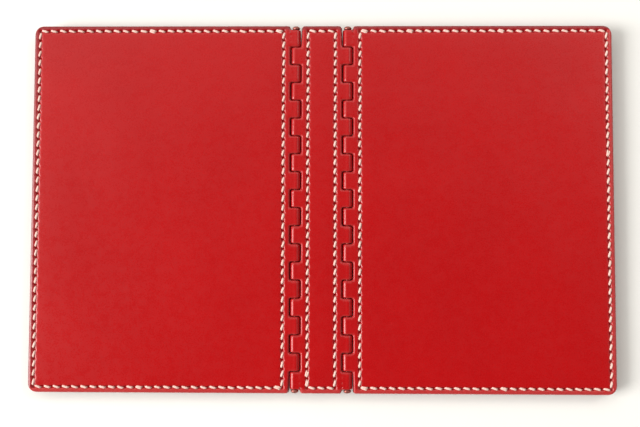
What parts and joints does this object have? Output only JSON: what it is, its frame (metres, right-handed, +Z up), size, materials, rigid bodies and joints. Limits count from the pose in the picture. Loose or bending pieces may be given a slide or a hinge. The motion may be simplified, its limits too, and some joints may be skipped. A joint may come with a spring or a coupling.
{
  "type": "card holder",
  "caption": "Book-style red leather card holder with two stitched covers and a narrow spine joined by leather knuckle hinges.",
  "frame": {"origin": "middle of the spine, on the plane that the card pockets rest on, with the holder open and its outside up", "axes": "+X across the spine towards the right cover, +Y along the spine towards the top edge, +Z up, out of the outside of the covers"},
  "size_m": [0.2152, 0.136, 0.0068],
  "materials": {
    "outer_leather": "smooth dyed vegetable-tanned leather, satin, burnished edges",
    "core_leather": "dense middle leather, edge dyed and burnished",
    "lining_leather": "smooth dyed lining leather, satin",
    "pocket_leather": "thin smooth dyed leather, satin, creased edge",
    "thread": "waxed linen thread, cream white",
    "hinge_metal": "drawn steel rod with domed caps, slightly worn"
  },
  "bodies": {
    "spine": {"spine_leather": "outer_leather", "spine_core": "core_leather", "spine_lining": "lining_leather", "spine_stitching": "thread", "left_hinge_pin": "hinge_metal", "left_pin_cap_top": "hinge_metal", "left_pin_cap_bottom": "hinge_metal", "right_hinge_pin": "hinge_metal", "right_pin_cap_top": "hinge_metal", "right_pin_cap_bottom": "hinge_metal"},
    "left_cover": {"left_cover_leather": "outer_leather", "left_cover_core": "core_leather", "left_cover_lining": "lining_leather", "left_lower_back_pocket": "pocket_leather", "left_lower_front_pocket": "pocket_leather", "left_upper_back_pocket": "pocket_leather", "left_upper_front_pocket": "pocket_leather", "left_seam_stitching": "thread", "left_pocket_stitching": "thread"},
    "right_cover": {"right_cover_leather": "outer_leather", "right_cover_core": "core_leather", "right_cover_lining": "lining_leather", "right_lower_back_pocket": "pocket_leather", "right_lower_front_pocket": "pocket_leather", "right_upper_back_pocket": "pocket_leather", "right_upper_front_pocket": "pocket_leather", "right_seam_stitching": "thread", "right_pocket_stitching": "thread"}
  },
  "joints": [
    {"name": "left_hinge", "type": "hinge", "parent": "spine", "child": "left_cover", "pos_m": [-0.00963, 0, 0.0047], "axis": [0, -1, 0], "range_deg": [-90, 90]},
    {"name": "right_hinge", "type": "hinge", "parent": "spine", "child": "right_cover", "pos_m": [0.00963, 0, 0.0047], "axis": [0, 1, 0], "range_deg": [-90, 90]}
  ]
}
